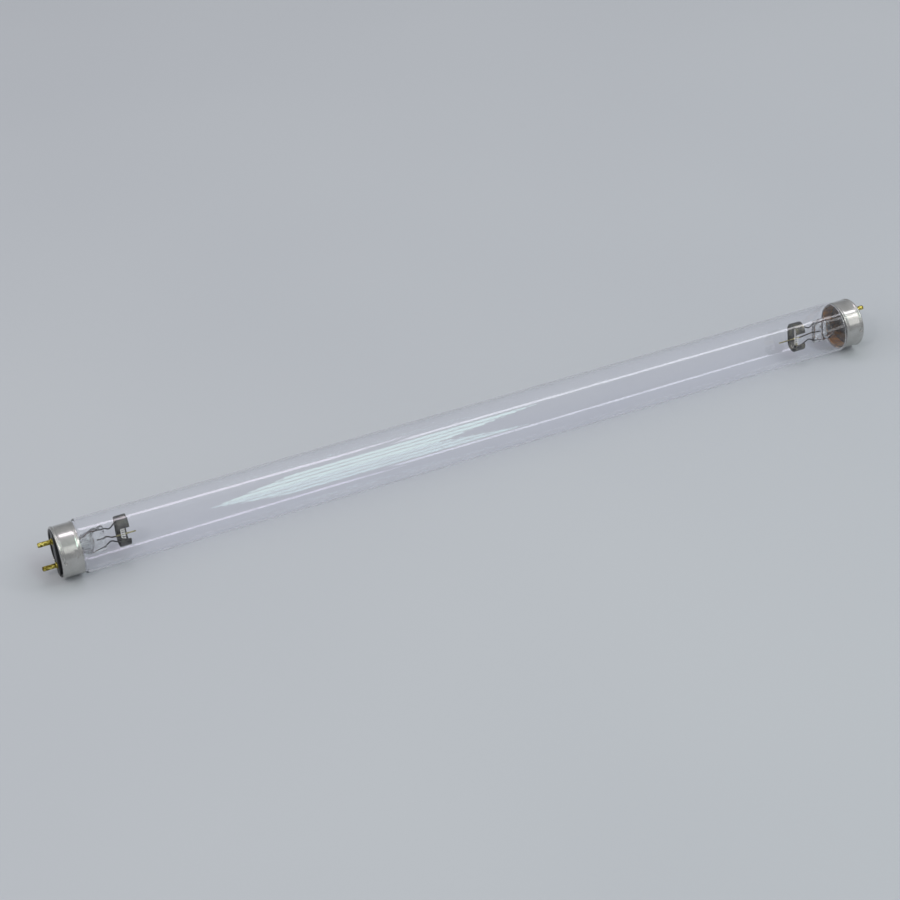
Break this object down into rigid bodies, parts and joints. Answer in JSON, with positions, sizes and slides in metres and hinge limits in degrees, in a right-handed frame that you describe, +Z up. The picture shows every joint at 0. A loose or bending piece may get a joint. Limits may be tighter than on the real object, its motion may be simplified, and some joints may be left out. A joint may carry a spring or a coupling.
{
  "type": "uvc germicidal lamp tube",
  "caption": "Straight clear glass discharge tube with a flared glass stem, guarded filament and aluminium two-pin cap at each end, used to disinfect air, water or surfaces.",
  "frame": {"origin": "the line along which the glass rests, under the middle of the lamp's length", "axes": "+X along the lamp towards the right-hand cap, +Z up, +Y away from the viewer"},
  "size_m": [0.4516, 0.0264, 0.0265],
  "materials": {
    "tube_glass": "clear polished tubing",
    "stem_glass": "clear, pressed in the flame",
    "cap_aluminium": "satin drawn sheet",
    "phenolic": "black moulded, slightly glossy",
    "pin_brass": "bright, slightly tarnished",
    "basing_cement": "matt brown resin cement",
    "copper_lead": "drawn copper wire",
    "nickel_lead": "dull nickel plate on iron wire",
    "support_wire": "heat-tinted nickel wire",
    "guard_band": "dull nickel plated strip",
    "coated_filament": "white emitter coat on tungsten coil"
  },
  "bodies": {
    "root": {"glass_tube": "tube_glass", "left_cap_shell": "cap_aluminium", "left_insulator": "phenolic", "left_basing_cement": "basing_cement", "left_pump_tube": "stem_glass", "left_stem": "stem_glass", "left_support_wire": "support_wire", "left_guard": "guard_band", "left_filament": "coated_filament", "left_upper_contact_pin": "pin_brass", "left_lower_contact_pin": "pin_brass", "left_upper_outer_lead": "copper_lead", "left_lower_outer_lead": "copper_lead", "left_upper_inner_lead": "nickel_lead", "left_lower_inner_lead": "nickel_lead", "right_cap_shell": "cap_aluminium", "right_insulator": "phenolic", "right_basing_cement": "basing_cement", "right_pump_tube": "stem_glass", "right_stem": "stem_glass", "right_support_wire": "support_wire", "right_guard": "guard_band", "right_filament": "coated_filament", "right_upper_contact_pin": "pin_brass", "right_lower_contact_pin": "pin_brass", "right_upper_outer_lead": "copper_lead", "right_lower_outer_lead": "copper_lead", "right_upper_inner_lead": "nickel_lead", "right_lower_inner_lead": "nickel_lead"}
  },
  "joints": []
}
